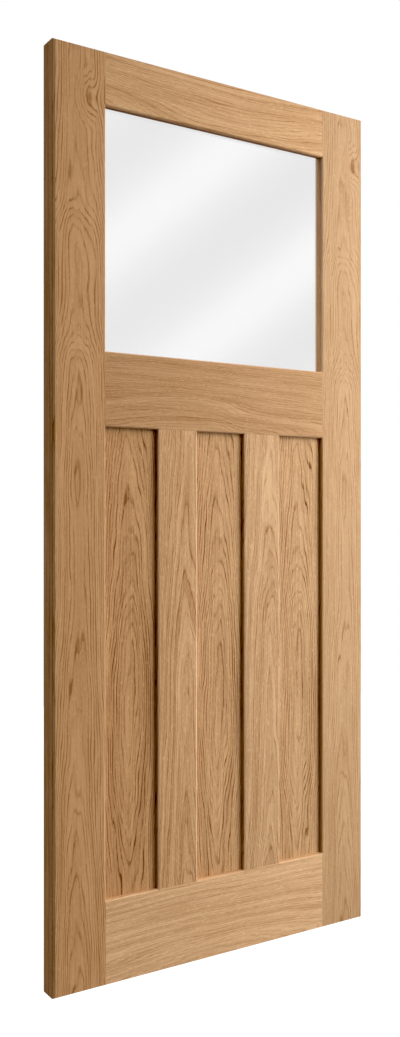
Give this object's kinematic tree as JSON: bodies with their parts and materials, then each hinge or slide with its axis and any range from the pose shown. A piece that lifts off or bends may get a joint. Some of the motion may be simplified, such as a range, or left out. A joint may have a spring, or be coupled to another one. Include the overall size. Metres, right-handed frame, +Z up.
{
  "type": "half glazed door",
  "caption": "Oak door leaf with a large clear light above and tall flat recessed panels below, framed by stiles, rails and muntins and glazed between mitred beads",
  "frame": {"origin": "On the face of the hinge edge, at its bottom end, in the middle of the leaf's thickness", "axes": "+X across the leaf from the hinge edge to the lock edge, +Y through the thickness from the front to the back, +Z up"},
  "size_m": [0.838, 0.044, 1.981],
  "materials": {
    "stile_oak": "satin",
    "lipping_oak": "satin",
    "rail_oak": "satin",
    "muntin_oak": "satin",
    "panel_oak": "satin",
    "bead_oak": "satin",
    "clear_glass": "polished"
  },
  "bodies": {
    "root": {"hinge_stile": "stile_oak", "lock_stile": "stile_oak", "hinge_edge_lipping": "lipping_oak", "lock_edge_lipping": "lipping_oak", "top_rail": "rail_oak", "lock_rail": "rail_oak", "bottom_rail": "rail_oak", "left_muntin": "muntin_oak", "right_muntin": "muntin_oak", "left_panel": "panel_oak", "centre_panel": "panel_oak", "right_panel": "panel_oak", "glass_pane": "clear_glass", "front_top_bead": "bead_oak", "front_bottom_bead": "bead_oak", "front_left_bead": "bead_oak", "front_right_bead": "bead_oak", "back_top_bead": "bead_oak", "back_bottom_bead": "bead_oak", "back_left_bead": "bead_oak", "back_right_bead": "bead_oak"}
  },
  "joints": []
}
